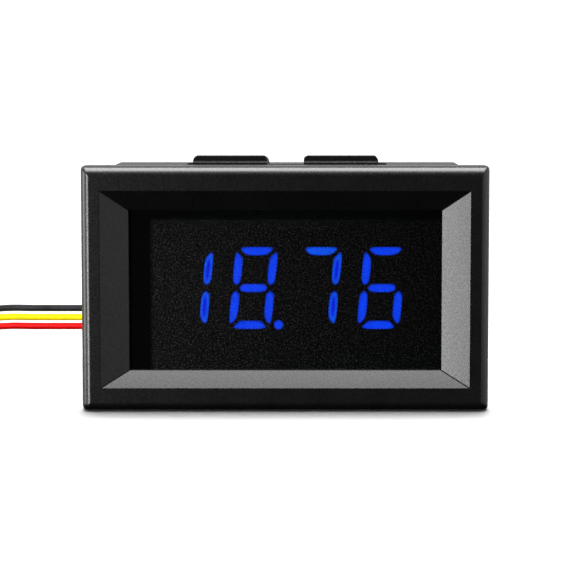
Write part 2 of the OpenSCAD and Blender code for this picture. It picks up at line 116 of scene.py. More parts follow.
# %% [markdown]
# ## The light
# Black plastic shows little but what it mirrors, so each light has one edge or slope to draw.
# A wide softbox overhead draws the bezel's top edge and the recess's lower slope, and a dim one
# further forward softens that edge's lower border. One at the front left draws the recess's
# right slope, and one at the left the bezel's left edge. Two dim ones at the right do the same
# for the left slope and the right edge. None of them lights the table. It has two suns of its
# own: a small one almost overhead, which leaves a short contact shadow at the meter's foot, and
# a very wide one straight above, which keeps that shadow from going black.

# %% Hang the softboxes
off_table = bpy.data.collections.new("off_table")
off_table.objects.link(table)
off_table.collection_objects[0].light_linking.link_state = "EXCLUDE"
table_only = bpy.data.collections.new("table_only")
table_only.objects.link(table)


def softbox(name, azimuth, elevation, distance, size, radiance):
    """An area light that faces the meter, with its size in metres and its radiance in W/m2/sr."""
    turn, rise = math.radians(azimuth), math.radians(elevation)
    away = Vector((math.sin(turn) * math.cos(rise), -math.cos(turn) * math.cos(rise),
                   math.sin(rise)))
    bpy.ops.object.light_add(type="AREA", location=away * distance)
    lamp = bpy.context.object
    lamp.name = name
    lamp.rotation_euler = away.to_track_quat("Z", "Y").to_euler()
    lamp.data.shape = "RECTANGLE"
    lamp.data.size, lamp.data.size_y = size
    lamp.data.energy = radiance * math.pi * size[0] * size[1]
    lamp.light_linking.receiver_collection = off_table
    return lamp


softbox("overhead", 0, 82, 0.56, (0.9, 0.5), 13)
softbox("overhead_front", 0, 50, 0.6, (0.9, 0.2), 1.2)
softbox("front_left", -40, -6, 0.6, (0.12, 0.44), 18)
softbox("left", -80, 4, 0.5, (0.22, 0.4), 6)
softbox("front_right", 36, -4, 0.6, (0.16, 0.4), 0.9)
softbox("right", 70, 4, 0.5, (0.4, 0.4), 0.9)


def table_lamp(name, turn_down, energy, angle):
    """A sun that lights the table only, so the shadows on it are all that it draws."""
    bpy.ops.object.light_add(type="SUN", location=(0, 0.03, 0.6), rotation=(turn_down, 0, 0))
    lamp = bpy.context.object
    lamp.name = name
    lamp.data.energy = energy
    lamp.data.angle = math.radians(angle)
    lamp.light_linking.receiver_collection = table_only
    return lamp


contact_lamp = table_lamp("contact_lamp", math.radians(-3.5), 2.7, 7)
table_lamp("soft_lamp", 0, 1.3, 60)
not_leads = bpy.data.collections.new("not_leads")
contact_lamp.light_linking.blocker_collection = not_leads

# %% [markdown]
# The studio's walls are a gradient in the world shader: pale behind the meter, dark in front of
# it and below it. The camera itself sees plain white.

# %% Paint the studio's walls
world = bpy.data.worlds.new("studio")
bpy.context.scene.world = world
world.use_nodes = True
walls = world.node_tree
walls.nodes.clear()
direction = walls.nodes.new("ShaderNodeTexCoord")
parts = walls.nodes.new("ShaderNodeSeparateXYZ")
walls.links.new(direction.outputs["Generated"], parts.inputs[0])


def fade(axis, start, end, low, high):
    node = walls.nodes.new("ShaderNodeMapRange")
    for socket, value in zip(("From Min", "From Max", "To Min", "To Max"), (start, end, low, high)):
        node.inputs[socket].default_value = value
    walls.links.new(parts.outputs[axis], node.inputs["Value"])
    return node.outputs["Result"]


front_to_back = fade("Y", -0.5, 0.3, 0.02, 0.9)
floor_to_horizon = fade("Z", -0.6, 0.0, 0.0, 1.0)
product = walls.nodes.new("ShaderNodeMath")
product.operation = "MULTIPLY"
walls.links.new(front_to_back, product.inputs[0])
walls.links.new(floor_to_horizon, product.inputs[1])
painted = walls.nodes.new("ShaderNodeBackground")
walls.links.new(product.outputs[0], painted.inputs["Strength"])
backdrop = walls.nodes.new("ShaderNodeBackground")
backdrop.inputs["Strength"].default_value = 1.05
for shade in (painted, backdrop):
    shade.inputs["Color"].default_value = (1, 1, 1, 1)
seen = walls.nodes.new("ShaderNodeLightPath")
choose = walls.nodes.new("ShaderNodeMixShader")
walls.links.new(seen.outputs["Is Camera Ray"], choose.inputs[0])
walls.links.new(painted.outputs[0], choose.inputs[1])
walls.links.new(backdrop.outputs[0], choose.inputs[2])
to_world = walls.nodes.new("ShaderNodeOutputWorld")
walls.links.new(choose.outputs[0], to_world.inputs["Surface"])
print("world:", len(walls.nodes), "nodes")

# %% [markdown]
# ## Helpers for finishes
# Each finish starts from the Principled shader. A number that is the same all over goes on the
# shader's own socket. Only what varies, such as grain, mottling or grime, comes from texture
# nodes, and they read Object coordinates, so that a pattern stays on its piece.

# %% Helpers for finishes


def finish(name, colour, roughness, metallic=0.0, specular=0.5):
    """A new material and its Principled shader."""
    made = bpy.data.materials.new(name)
    made.use_nodes = True
    shader = made.node_tree.nodes["Principled BSDF"]
    shader.inputs["Base Color"].default_value = (*colour, 1)
    shader.inputs["Roughness"].default_value = roughness
    shader.inputs["Metallic"].default_value = metallic
    shader.inputs["Specular IOR Level"].default_value = specular
    return made, shader


def place_on_object(made, stretch=(1, 1, 1)):
    """The piece's own coordinates in millimetres, stretched where a pattern is longer one way."""
    nodes = made.node_tree.nodes
    where = nodes.new("ShaderNodeTexCoord")
    mapping = nodes.new("ShaderNodeMapping")
    mapping.inputs["Scale"].default_value = [side / MM for side in stretch]
    made.node_tree.links.new(where.outputs["Object"], mapping.inputs["Vector"])
    return mapping.outputs["Vector"]


def noise(made, size, detail=2, stretch=(1, 1, 1)):
    """Noise with features of that size in millimetres."""
    node = made.node_tree.nodes.new("ShaderNodeTexNoise")
    node.inputs["Scale"].default_value = 1 / size
    node.inputs["Detail"].default_value = detail
    made.node_tree.links.new(place_on_object(made, stretch), node.inputs["Vector"])
    return node.outputs["Fac"]


def blend_by(made, factor, low, high, start=0.35, end=0.65):
    """A number that goes from low to high as the factor goes from start to end."""
    node = made.node_tree.nodes.new("ShaderNodeMapRange")
    node.inputs["From Min"].default_value = start
    node.inputs["From Max"].default_value = end
    node.inputs["To Min"].default_value = low
    node.inputs["To Max"].default_value = high
    made.node_tree.links.new(factor, node.inputs["Value"])
    return node.outputs["Result"]


def colour_by(made, factor, low, high, start=0.35, end=0.65):
    """A colour that goes from low to high as the factor goes from start to end."""
    ramp = made.node_tree.nodes.new("ShaderNodeValToRGB")
    stops = ramp.color_ramp.elements
    stops[0].position, stops[1].position = start, end
    stops[0].color, stops[1].color = (*low, 1), (*high, 1)
    made.node_tree.links.new(factor, ramp.inputs["Fac"])
    return ramp.outputs["Color"]


def along(made, axis, start, end, low=0.0, high=1.0):
    """A number that goes from low to high between two places in millimetres along an axis."""
    split = made.node_tree.nodes.new("ShaderNodeSeparateXYZ")
    made.node_tree.links.new(place_on_object(made), split.inputs[0])
    return blend_by(made, split.outputs[axis], low, high, start, end)


def times(made, *factors):
    """The product of factors that vary over the surface."""
    result = factors[0]
    for factor in factors[1:]:
        node = made.node_tree.nodes.new("ShaderNodeMath")
        node.operation = "MULTIPLY"
        made.node_tree.links.new(result, node.inputs[0])
        made.node_tree.links.new(factor, node.inputs[1])
        result = node.outputs[0]
    return result


def bump(made, shader, height, depth, strength=1.0):
    """Raise the surface by up to the depth in millimetres where the height socket is 1."""
    node = made.node_tree.nodes.new("ShaderNodeBump")
    node.inputs["Strength"].default_value = strength
    node.inputs["Distance"].default_value = depth * MM
    made.node_tree.links.new(height, node.inputs["Height"])
    made.node_tree.links.new(node.outputs["Normal"], shader.inputs["Normal"])


def connect(made, source, shader, socket):
    made.node_tree.links.new(source, shader.inputs[socket])


def mottled(name, colour, roughness, size, depth, metallic=0.0, darker=0.72):
    """A finish with some mottling of its colour and roughness, and a fine bump."""
    made, shader = finish(name, colour, roughness, metallic)
    spots = noise(made, size * 4, 4)
    low = [darker * part for part in colour]
    connect(made, colour_by(made, spots, low, colour), shader, "Base Color")
    connect(made, blend_by(made, spots, roughness + 0.08, roughness - 0.05), shader, "Roughness")
    bump(made, shader, noise(made, size, 2), depth, 0.5)
    return made


# %% [markdown]
# ## Helpers for shapes
# Everything new is modelled as by hand: a primitive or a merged copy of a frame node is opened
# in edit mode, some of its edges or faces are picked by where they lie, and an operator such as
# bevel, inset or extrude works on just those. Places in these tests are in millimetres. Weighted
# normals keep the large flat faces flat where they meet a rounded edge.

# %% Helpers for shapes


def make_active(piece):
    bpy.ops.object.select_all(action="DESELECT")
    piece.select_set(True)
    bpy.context.view_layer.objects.active = piece


def copy_node(node, name):
    """A copy of a frame node with its loose triangles merged into whole flat faces."""
    piece = bpy.data.objects.new(name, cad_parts[node].data.copy())
    bpy.context.scene.collection.objects.link(piece)
    piece.data.materials.clear()
    make_active(piece)
    if piece.data.has_custom_normals:
        bpy.ops.mesh.customdata_custom_splitnormals_clear()
    bpy.ops.object.mode_set(mode="EDIT")
    bpy.ops.mesh.select_all(action="SELECT")
    bpy.ops.mesh.remove_doubles(threshold=0.002 * MM)
    bpy.ops.mesh.dissolve_limited(angle_limit=math.radians(0.5))
    bpy.ops.object.mode_set(mode="OBJECT")
    return piece


def pick_edges(piece, test):
    """Open the piece with the edges selected whose two ends, in millimetres, pass the test."""
    make_active(piece)
    bpy.ops.object.mode_set(mode="EDIT")
    bpy.ops.mesh.select_mode(type="EDGE")
    bpy.ops.mesh.select_all(action="DESELECT")
    bpy.ops.object.mode_set(mode="OBJECT")
    mesh = piece.data
    count = 0
    for edge in mesh.edges:
        edge.select = bool(test(*[mesh.vertices[i].co / MM for i in edge.vertices]))
        count += edge.select
    bpy.ops.object.mode_set(mode="EDIT")
    return count


def pick_faces(piece, test):
    """Open the piece with the faces selected that pass a test of middle, normal and area."""
    make_active(piece)
    bpy.ops.object.mode_set(mode="EDIT")
    bpy.ops.mesh.select_mode(type="FACE")
    bpy.ops.mesh.select_all(action="DESELECT")
    bpy.ops.object.mode_set(mode="OBJECT")
    count = 0
    for face in piece.data.polygons:
        face.select = bool(test(face.center / MM, face.normal, face.area / MM**2))
        count += face.select
    bpy.ops.object.mode_set(mode="EDIT")
    return count


def round_edges(piece, test, radius, segments=3):
    count = pick_edges(piece, test)
    if count:
        bpy.ops.mesh.bevel(offset=radius * MM, segments=segments, affect="EDGES",
                           clamp_overlap=True)
    bpy.ops.object.mode_set(mode="OBJECT")
    print(piece.name + ":", count, "edges rounded by", radius, "mm")


def soften(piece, radius, segments=2, angle=40):
    """Round all of a piece's sharp edges with a Bevel modifier, and apply it."""
    make_active(piece)
    rounding = piece.modifiers.new("rounding", "BEVEL")
    rounding.width = radius * MM
    rounding.segments = segments
    rounding.limit_method = "ANGLE"
    rounding.angle_limit = math.radians(angle)
    bpy.ops.object.modifier_apply(modifier=rounding.name)


def finish_piece(piece, made, body="meter", replaced=(), smooth=35):
    """Give a piece its finish, its smooth shading and the body that it rides on."""
    make_active(piece)
    bpy.ops.object.transform_apply(location=True, rotation=True, scale=True)
    piece.data.materials.clear()
    piece.data.materials.append(made)
    bpy.ops.object.shade_smooth_by_angle(angle=math.radians(smooth))
    for modifier in list(piece.modifiers):
        bpy.ops.object.modifier_apply(modifier=modifier.name)
    weighted = piece.modifiers.new("weighted", "WEIGHTED_NORMAL")
    weighted.keep_sharp = True
    bpy.ops.object.modifier_apply(modifier=weighted.name)
    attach(piece, body)
    if replaced:
        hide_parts(*replaced)
    print(piece.name + ":", len(piece.data.polygons), "faces")
    return piece


def near(a, b, gap=0.02):
    return abs(a - b) < gap


# %% [markdown]
# ## The three leads
# Each lead is one wire of about 150 mm, 0.9 mm thick: it leaves the plug, turns left behind the
# case, drops to the table and is wound into one layer of a flat coil. A curve is the right tool: its
# centreline is the wire's real length, and a round bevel gives it its thickness. The points before
# the coil are listed. The coil is a loop: 24 points a turn, a little more than one wire thickness
# further in each time round.

# %% Route the leads
lead_d = 0.9
contact_pitch = 1.25
header_z = -8.2
coil_middle = (-52, 26.9)
coil_r = 6.4
layer_pitch = 0.95
turns = 3.65
steps_a_turn = 24
tuck_r = 1.9  # the turn inwards that lays the stripped end across the coil's hole
tie_t, touch = 0.35, 0.05  # the tie's thickness, and what the lowest layer keeps clear of it
first_layer_z = table_z / MM + tie_t + touch + lead_d / 2
# x, y and how far down to the coil the lead has come
lead_route = [
    (-17.5, 14.2, 0), (-17.5, 17.3, 0), (-17.7, 18.4, 0), (-18.3, 19.4, 0), (-19.3, 20.1, 0),
    (-20.6, 20.5, 0), (-25, 20.5, 0), (-30, 20.5, 0), (-35, 20.5, 0), (-39, 20.5, 0),
    (-40.5, 20.5, 0.04), (-42, 20.5, 0.16), (-43.5, 20.5, 0.37), (-45, 20.5, 0.63),
    (-46.5, 20.5, 0.84), (-48, 20.5, 0.96), (-49.5, 20.5, 1),
]


def coil_points():
    """The flat spiral from the coil's front inwards, then the tuck across its hole, as x and y."""
    points = []
    for step in range(round(turns * steps_a_turn) + 1):
        turn = step / steps_a_turn
        angle = math.radians(-90) - turn * math.tau
        r = coil_r - turn * layer_pitch
        points.append((coil_middle[0] + r * math.cos(angle), coil_middle[1] + r * math.sin(angle)))
    heading = angle - math.radians(90)
    centre = (points[-1][0] + tuck_r * math.cos(heading - math.radians(90)),
              points[-1][1] + tuck_r * math.sin(heading - math.radians(90)))
    sweep = (heading + math.pi) % math.tau
    for step in range(1, 9):
        angle = heading + math.radians(90) - sweep * step / 8
        points.append((centre[0] + tuck_r * math.cos(angle), centre[1] + tuck_r * math.sin(angle)))
    return points


def lead_points(layer):
    start_z = header_z + (layer - 1) * contact_pitch
    end_z = first_layer_z + layer * layer_pitch
    before = [(x, y, start_z + drop * (end_z - start_z)) for x, y, drop in lead_route]
    return [Vector(p) * MM for p in before + [(x, y, end_z) for x, y in coil_points()]]


def wire(name, points, thickness):
    """A round wire through the points, as a curve of one smooth spline."""
    curve = bpy.data.curves.new(name, "CURVE")
    curve.dimensions = "3D"
    curve.resolution_u = 4
    curve.bevel_depth = thickness / 2 * MM
    curve.bevel_resolution = 5
    curve.use_fill_caps = True
    spline = curve.splines.new("BEZIER")
    spline.bezier_points.add(len(points) - 1)
    for knot, place in zip(spline.bezier_points, points):
        knot.co = place
        knot.handle_left_type = knot.handle_right_type = "AUTO"
    piece = bpy.data.objects.new(name, curve)
    bpy.context.scene.collection.objects.link(piece)
    return piece


def length_of(points):
    return sum((b - a).length for a, b in zip(points, points[1:]))


# %% [markdown]
# The insulation is soft PVC. It isn't as even as paint: it has a little mottling where it was
# handled and a fine grain from the die, and the black one has a slight sheen.


def insulation(name, colour, darker, sheen):
    made, shader = finish(name, colour, 0.45, specular=0.12)
    mottle = noise(made, 1.6, 3)
    connect(made, colour_by(made, mottle, darker, colour, 0.3, 0.6), shader, "Base Color")
    fine = noise(made, 0.12, 3)
    connect(made, blend_by(made, fine, 0.38, 0.52), shader, "Roughness")
    bump(made, shader, fine, 0.01, 0.35)
    shader.inputs["Sheen Weight"].default_value = sheen
    return made


LEADS = [
    ("red", insulation("red_insulation", (0.78, 0.0006, 0.0006), (0.6, 0.0003, 0.0003), 0)),
    ("yellow", insulation("yellow_insulation", (1.0, 0.88, 0.0), (0.88, 0.7, 0.0), 0)),
    ("black", insulation("black_insulation", (0.02, 0.02, 0.022), (0.008, 0.008, 0.009), 0.1)),
]
leads = {}
for layer, (colour, made) in enumerate(LEADS):
    points = lead_points(layer)
    lead = wire("lead_" + colour + "_wire", points, lead_d)
    lead.data.materials.append(made)
    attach(lead, "lead_plug")
    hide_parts("lead_" + colour, "coil_" + colour)
    leads[colour] = lead
    print(colour, "lead:", round(length_of(points) / MM, 1), "mm along its points")

# %% [markdown]
# ## The stripped ends
# Each lead ends in two or three millimetres of tinned strands: six round one, twisted. They are
# six thin wires on a helix and a straight one inside it, turned into meshes and joined.

# %% Strip the leads' ends
strand_d = 0.165
tip_start = -51.3
tip_end = -53.7
tip_y = coil_points()[-1][1]
twist = math.tau / 4.5  # one turn in 4.5 mm


def strand_points(layer, k):
    z = first_layer_z + layer * layer_pitch
    steps = 10
    points = []
    for step in range(steps + 1):
        x = tip_start + (tip_end - tip_start) * step / steps
        angle = k * math.tau / 6 + (x - tip_start) * twist
        reach = strand_d if k else 0
        y = tip_y + reach * math.cos(angle)
        points.append(Vector((x, y, z + reach * math.sin(angle))) * MM)
    return points


def join(pieces, name):
    """Turn curves into meshes and join several pieces into one."""
    bpy.ops.object.select_all(action="DESELECT")
    for piece in pieces:
        piece.select_set(True)
    bpy.context.view_layer.objects.active = pieces[0]
    bpy.ops.object.convert(target="MESH")
    bpy.ops.object.join()
    joined = bpy.context.object
    joined.name = name
    return joined


strands = []
for layer in range(3):
    for k in range(7):
        strand = wire("strand", strand_points(layer, k), strand_d)
        strand.data.bevel_resolution = 1
        strand.data.resolution_u = 1
        strands.append(strand)
stripped_ends = join(strands, "stripped_ends")

tinned, shader = finish("tinned", (0.72, 0.72, 0.71), 0.28, metallic=1.0)
tarnish = noise(tinned, 0.35, 4)
connect(tinned, colour_by(tinned, tarnish, (0.42, 0.41, 0.39), (0.8, 0.8, 0.79), 0.3, 0.6),
        shader, "Base Color")
connect(tinned, blend_by(tinned, tarnish, 0.45, 0.2), shader, "Roughness")
bump(tinned, shader, noise(tinned, 0.09, 2), 0.008, 0.3)
finish_piece(stripped_ends, tinned, "lead_plug", ["lead_ends"], 60)
print("stripped ends:", len(stripped_ends.data.polygons), "faces")

# %% [markdown]
# ## The coil's tie
# A narrow strip of natural nylon holds the coil. The frame has it as a square ring. A copy of it
# with well rounded edges looks like a moulded strip drawn tight.

# %% Tie the coil
tie = copy_node("coil_tie", "nylon_tie")
round_edges(tie, lambda a, b: near(a.x, b.x) and near(a.z, b.z) and not near(a.y, b.y), 0.3, 4)
round_edges(tie, lambda a, b: near(a.y, b.y), 0.07, 2)
nylon, shader = finish("nylon", (0.78, 0.78, 0.74), 0.35)
shader.inputs["Subsurface Weight"].default_value = 0.25
shader.inputs["Subsurface Radius"].default_value = (0.4 * MM, 0.4 * MM, 0.35 * MM)
shader.inputs["Subsurface Scale"].default_value = 1
flow = noise(nylon, 0.8, 3, (1, 0.3, 1))
connect(nylon, colour_by(nylon, flow, (0.5, 0.5, 0.45), (0.66, 0.66, 0.62)), shader, "Base Color")
bump(nylon, shader, noise(nylon, 0.12, 2), 0.01, 0.3)
finish_piece(tie, nylon, "lead_plug", ["coil_tie"])

# %% [markdown]
# ## The plug
# The leads' plug is a small cream moulding. It is the frame's own shape with its edges softened.

cream_nylon = mottled("cream_nylon", (0.76, 0.71, 0.56), 0.42, 0.14, 0.008)
plug = copy_node("plug_housing", "plug_shell")
soften(plug, 0.1)
finish_piece(plug, cream_nylon, "lead_plug", ["plug_housing"])

# %% [markdown]
# ## The case
# Bezel, body and snap wings are one moulding in black ABS. The frame's case has true sizes but
# knife-sharp edges, and a real moulding never has those: it is the light caught by a rounded
# edge that makes plastic look solid. So a merged copy of it is bevelled group by group. One
# Bevel modifier for all would not do: the smallest face would limit the radius everywhere.

# %% Round the bezel's outer edge
case = copy_node("case", "case_moulding")
low, high = (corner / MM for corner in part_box("case"))
bezel_front, bezel_bevel = low.y, 0.7
half_w, half_h = high.x, -low.z
recess_x, recess_z, recess_depth = half_w - 2.3, half_h - 2.85, 1.3
body_x, body_z, body_back = half_w - 1.25, half_h - 1.1, high.y


def on_bezel_edge(a, b):
    """The bevel's inner and outer outlines, its mitres, and the bezel's four upright corners."""
    outside = all(abs(p.x) > half_w - 0.75 or abs(p.z) > half_h - 0.75 for p in (a, b))
    outlines = near(a.y, b.y) and (near(a.y, bezel_front) or near(a.y, bezel_front + bezel_bevel))
    corner = all(abs(p.x) > half_w - 0.75 and abs(p.z) > half_h - 0.75 for p in (a, b))
    return outside and (outlines or (corner and not near(a.y, b.y)))


round_edges(case, on_bezel_edge, 0.46, 5)

# %% Round the recess and the body


def on_recess_rim(a, b):
    """The edge where the flat front drops into the recess."""
    inside = all(abs(p.x) < recess_x + 0.05 and abs(p.z) < recess_z + 0.05 for p in (a, b))
    return inside and near(a.y, bezel_front) and near(b.y, bezel_front)


def on_mitre(a, b):
    """The four slanting valleys where two slopes of the recess meet."""
    top, bottom = sorted((a.y, b.y))
    deep = near(top, bezel_front, 0.1) and near(bottom, bezel_front + recess_depth, 0.05)
    return deep and abs(a.x - b.x) > 1 and abs(a.z - b.z) > 1


def on_body_edge(a, b):
    """The body's four long corners and the outer outline of its open back."""
    corner = all(near(abs(p.x), body_x) and near(abs(p.z), body_z) for p in (a, b))
    rear = near(a.y, body_back) and near(b.y, body_back)
    outer = all(near(abs(p.x), body_x) or near(abs(p.z), body_z) for p in (a, b))
    return corner or (rear and outer)


round_edges(case, on_recess_rim, 0.05, 2)
round_edges(case, on_mitre, 0.1, 2)
round_edges(case, on_body_edge, 0.3, 3)

# %% [markdown]
# The moulding's skin was spark eroded into the tool: a fine leathery grain of about a quarter of
# a millimetre with a finer one on top. Both are bump, because they are far too small to model.
# The roughness wanders a little with the grain, which breaks up the highlights. The body and the
# bezel's left side are duller than the bezel's front and the wings' fronts, and the ledge across
# each wing is the dullest, because a tool is hardest to polish in a corner.

# %% Finish the case
black_abs, shader = finish("black_abs", (0.0025, 0.0025, 0.0026), 0.28)
leather = noise(black_abs, 0.26, 3)
spark = noise(black_abs, 0.1, 2)
skin = black_abs.node_tree.nodes.new("ShaderNodeMath")
skin.operation = "MULTIPLY_ADD"
skin.inputs[1].default_value = 0.5
black_abs.node_tree.links.new(spark, skin.inputs[0])
black_abs.node_tree.links.new(leather, skin.inputs[2])
bump(black_abs, shader, skin.outputs[0], 0.003, 0.5)
grain = blend_by(black_abs, leather, 0.25, 0.31)
behind_front = along(black_abs, "Y", -0.9, -0.75)
bezel_side = times(black_abs, along(black_abs, "X", 0.02 - half_w, 0.07 - half_w, 1.0, 0.0),
                   along(black_abs, "Y", -0.9, -0.75, 1.0, 0.0))
wing_front = times(black_abs, along(black_abs, "Z", 13.42, 13.5), along(black_abs, "Y", 0.8, 1),
                   along(black_abs, "Y", 2.68, 2.78, 1.0, 0.0))
ledge = times(black_abs, wing_front, along(black_abs, "Z", 14.5, 14.56),
              along(black_abs, "Z", 14.74, 14.8, 1.0, 0.0))
connect(black_abs, times(black_abs, grain, blend_by(black_abs, behind_front, 1.0, 2.5, 0.0, 1.0),
                         blend_by(black_abs, bezel_side, 1.0, 2.5, 0.0, 1.0),
                         blend_by(black_abs, wing_front, 1.0, 0.4, 0.0, 1.0),
                         blend_by(black_abs, ledge, 1.0, 3.4, 0.0, 1.0)), shader, "Roughness")
handled = noise(black_abs, 3.0, 5)
connect(black_abs, colour_by(black_abs, handled, (0.002, 0.002, 0.0021), (0.003, 0.003, 0.0032)),
        shader, "Base Color")
finish_piece(case, black_abs, "meter", ["case"], 30)

# %% [markdown]
# ## The window
# The window is a sheet of smoked acrylic under a sandy anti-glare film. The film's grain is real,
# but its pale specks are painted glints of a light from the left. A strip at the left and along the
# top is left plain as painted shadow of the recess's walls, and the specks fade towards the right as
# painted falloff of that light.
# What shines behind the sheet shows and the rest stays dark: the shader's own alpha does that.

# %% Finish the window
# the bare sheet's own colour, and the pale colour of the painted glints on the film's grain
bare_sheet, painted_glint_colour = (0.0004, 0.0004, 0.0005), (0.03, 0.03, 0.033)
smoked, shader = finish("smoked_acrylic", bare_sheet, 0.3, specular=0.22)
shader.inputs["Alpha"].default_value = 0.7
# painted light: this mask leaves a painted shadow strip at the left and top and fades the glints
# towards the right
film_in_painted_light = times(smoked, along(smoked, "X", -16.1, -15.6), along(smoked, "Z", 8.2, 7.9),
             along(smoked, "X", -16, 19, 1.0, 0.35))
sand = blend_by(smoked, noise(smoked, 0.17, 1), 0.0, 1.0, 0.53, 0.72)
painted_grain_glints = times(smoked, film_in_painted_light, sand)
connect(smoked, colour_by(smoked, painted_grain_glints, bare_sheet, painted_glint_colour, 0.0, 1.0), shader, "Base Color")
connect(smoked, blend_by(smoked, film_in_painted_light, 0.22, 0.3, 0.0, 1.0), shader, "Roughness")
bump(smoked, shader, noise(smoked, 0.12, 1), 0.002, 0.5)
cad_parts["filter"].data.materials.clear()
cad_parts["filter"].data.materials.append(smoked)

# %% [markdown]
# ## The digits
# Each digit is seven strokes of clear epoxy over blue dies, in a black housing. A stroke's ends
# are round, and its light falls off towards its edge, because the epoxy spreads it. So the
# outlines of the frame's strokes are subdivided and smoothed, the front faces are poked and
# subdivided, and a colour attribute gives each point more light the further in from the outline
# it lies. The figures 1 and 7 have fewer strokes to share the current, and their middles look
# darker where the die itself sits.

# %% Round the strokes
strokes = copy_node("lit_segments", "lit_strokes")
digit_pitch, display_z = 7.68, -0.3
point_middle, point_r = (-0.83, -4.73), 0.65


def is_stroke_outline(a, b):
    """An edge along a stroke's front or rear outline, but not round the decimal point."""
    from_point = min(math.dist((p.x, p.z), point_middle) for p in (a, b))
    return near(a.y, b.y) and from_point > point_r


pick_edges(strokes, is_stroke_outline)
bpy.ops.mesh.subdivide(number_cuts=5)
bpy.ops.mesh.vertices_smooth(factor=0.5, repeat=10, yaxis=False)
bpy.ops.object.mode_set(mode="OBJECT")
outline_points = [(v.co.x / MM, v.co.z / MM) for v in strokes.data.vertices]

pick_faces(strokes, lambda middle, normal, area: normal.y < -0.9)
bpy.ops.mesh.poke()
bpy.ops.mesh.subdivide(number_cuts=5)
bpy.ops.object.mode_set(mode="OBJECT")
print("strokes:", len(strokes.data.vertices), "points")

# %% Spread the light over the strokes
from mathutils.kdtree import KDTree

outline_tree = KDTree(len(outline_points))
for index, (x, z) in enumerate(outline_points):
    outline_tree.insert((x, 0, z), index)
outline_tree.balance()
glow_edge, glow_full = Vector((0.0008, 0.014, 0.25)), Vector((0.0016, 0.05, 0.9))
glow_thin, glow_die = Vector((0.0018, 0.085, 0.88)), Vector((0.0004, 0.012, 0.7))
thin_figures = (-1.5 * digit_pitch, 0.5 * digit_pitch)  # the middles of the figures 1 and 7
die_height, die_reach = 2.2, 1.5  # above and below the display's middle


def smooth_step(value, start, end):
    t = min(max((value - start) / (end - start), 0), 1)
    return t * t * (3 - 2 * t)


def light_at(place):
    """The light that leaves a stroke's face: little at its outline, and full further in."""
    inside = outline_tree.find((place.x, 0, place.z))[2]
    from_thin = min(abs(place.x - middle) for middle in thin_figures)
    full = glow_full
    if from_thin < 0.45 * digit_pitch:
        from_die = abs(abs(place.z - display_z) - die_height)
        die = smooth_step(inside, 0.2, 0.4) * smooth_step(from_die, die_reach, 0.6 * die_reach)
        full = glow_thin.lerp(glow_die, die)
    return glow_edge.lerp(full, smooth_step(inside, 0.0, 0.22))


light = strokes.data.attributes.new("light", "FLOAT_COLOR", "POINT")
for index, vertex in enumerate(strokes.data.vertices):
    light.data[index].color = (*light_at(vertex.co / MM), 1)

# %% Make the strokes shine
glowing, shader = finish("glowing_blue", (0.005, 0.02, 0.2), 0.4)
spread = glowing.node_tree.nodes.new("ShaderNodeAttribute")
spread.attribute_name = "light"
connect(glowing, spread.outputs["Color"], shader, "Emission Color")
connect(glowing, blend_by(glowing, noise(glowing, 0.8, 2), 9.4, 10.8), shader, "Emission Strength")
finish_piece(strokes, glowing, "meter", ["lit_segments"], 40)

# %% [markdown]
# ## The circuit board
# Seen from behind, the board fills the case. It is glass-epoxy under green solder resist. The
# tracks stand out as slightly lighter, raised lines, so they are modelled as thin strips: each
# is a flat bar turned to run from one place to the next. The white marks are printed outlines.

# %% Finish the boards
resist = mottled("green_resist", (0.008, 0.085, 0.036), 0.34, 0.5, 0.006, darker=0.8)
board = copy_node("circuit_board", "main_board")
board_x, board_back, board_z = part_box("circuit_board")[1] / MM


def on_board_corner(a, b):
    return all(near(abs(p.x), board_x, 0.05) and near(abs(p.z), board_z, 0.05) for p in (a, b))


round_edges(board, on_board_corner, 0.5, 3)
finish_piece(board, resist, "meter", ["circuit_board"])

# %% Lay the tracks
track_w, track_t = 0.26, 0.03


def strip(a, b, width, thickness, name):
    """A flat strip on the board between two places given as x and z."""
    along_strip = Vector((b[0] - a[0], 0, b[1] - a[1]))
    bpy.ops.object.select_all(action="DESELECT")
    bpy.ops.mesh.primitive_cube_add(size=1, location=(0, 0, 0))
    piece = bpy.context.object
    piece.name = name
    piece.scale = ((along_strip.length + width) * MM, thickness * MM, width * MM)
    piece.rotation_euler = (0, -math.atan2(along_strip.z, along_strip.x), 0)
    piece.location = Vector(((a[0] + b[0]) / 2, board_back + thickness / 2, (a[1] + b[1]) / 2)) * MM
    return piece


def join_meshes(pieces, name):
    """Join several meshes into one piece, each with its place in the mesh."""
    bpy.ops.object.select_all(action="DESELECT")
    for piece in pieces:
        piece.select_set(True)
    bpy.context.view_layer.objects.active = pieces[0]
    bpy.ops.object.transform_apply(location=True, rotation=True, scale=True)
    bpy.ops.object.join()
    joined = bpy.context.object
    joined.name = name
    return joined


def route(*places):
    return [strip(a, b, track_w, track_t, "track") for a, b in zip(places, places[1:])]


